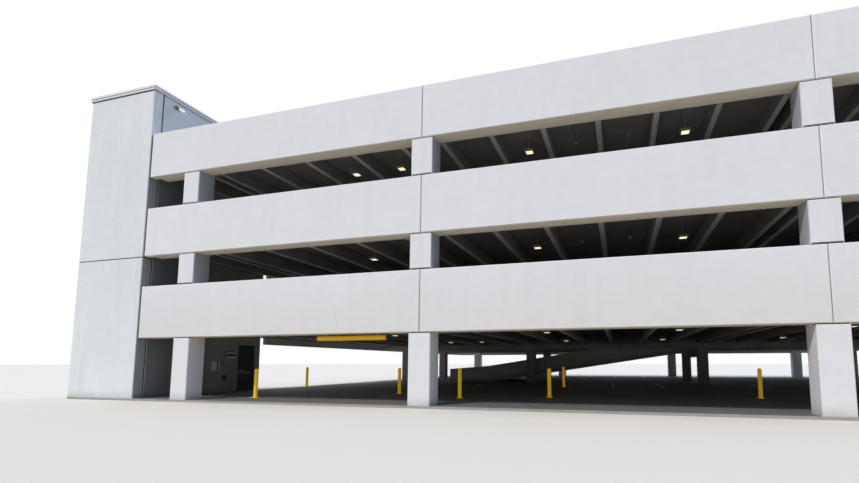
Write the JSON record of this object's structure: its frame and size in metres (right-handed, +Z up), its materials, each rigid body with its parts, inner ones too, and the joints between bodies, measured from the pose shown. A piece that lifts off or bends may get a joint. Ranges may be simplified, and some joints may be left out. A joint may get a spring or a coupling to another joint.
{
  "type": "multi storey car park",
  "caption": "Open-sided concrete car park with solid panel bands between open storeys, a stair tower, an inner ramp, a hinged tower door and a hanging clearance bar.",
  "frame": {"origin": "on the ground, where the line of the centre front column crosses the line of the front columns", "axes": "+X along the front towards the viewer's right, +Y from the front into the building, +Z up"},
  "size_m": [39.2, 36.4, 12.49],
  "materials": {
    "panel_concrete": "pale grey precast concrete with a light sand-blasted face",
    "frame_concrete": "plain grey cast concrete, unpainted, as left by the mould",
    "floor_concrete": "dark grey broomed concrete, worn by tyres",
    "cap_metal": "folded metal, factory coated in pale grey",
    "door_paint": "dark blue-black gloss paint",
    "fitting_metal": "galvanised and brushed steel",
    "light_casing": "white powder coat",
    "yellow_paint": "yellow safety paint, slightly faded"
  },
  "bodies": {
    "building": {"ground_slab": "floor_concrete", "front_columns": "panel_concrete", "rear_columns": "panel_concrete", "middle_columns": "frame_concrete", "front_panels_level_2": "panel_concrete", "front_panels_level_3": "panel_concrete", "front_panels_roof": "panel_concrete", "rear_panels": "panel_concrete", "left_side_panels": "panel_concrete", "right_side_panels": "panel_concrete", "girders": "frame_concrete", "front_floor_level_2": "frame_concrete", "front_floor_level_3": "frame_concrete", "front_floor_roof": "frame_concrete", "rear_floors": "frame_concrete", "ramp_landings": "frame_concrete", "ramp_flights": "floor_concrete", "ramp_beams": "frame_concrete", "ramp_walls": "panel_concrete", "ramp_well_guards": "panel_concrete", "tower_base": "floor_concrete", "tower_front_wall": "panel_concrete", "tower_left_wall": "panel_concrete", "tower_back_wall": "panel_concrete", "tower_side_wall_front": "panel_concrete", "tower_side_wall_rear": "panel_concrete", "tower_side_wall_lintels": "panel_concrete", "tower_landings": "frame_concrete", "tower_roof": "frame_concrete", "tower_cap": "cap_metal", "tower_door_frame": "door_paint", "upper_door_frames": "door_paint", "upper_doors": "door_paint", "upper_door_handles": "fitting_metal", "tower_wall_plates": "fitting_metal", "tower_wall_light": "light_casing", "bollards": "yellow_paint", "clearance_bar_brackets": "fitting_metal", "ceiling_lights": "light_casing", "ceiling_heads": "light_casing"},
    "tower_door": {"tower_door": "door_paint", "tower_door_handles": "fitting_metal"},
    "clearance_bar": {"clearance_bar": "yellow_paint"}
  },
  "joints": [
    {"name": "tower_door_hinge", "type": "hinge", "parent": "building", "child": "tower_door", "pos_m": [-11.641, 5.3425, 0.08], "axis": [0, 0, 1], "range_deg": [0, 100]},
    {"name": "clearance_bar_swing", "type": "hinge", "parent": "building", "child": "clearance_bar", "pos_m": [-2.535, -0.09, 2.312], "axis": [1, 0, 0], "range_deg": [-40, 40]}
  ]
}
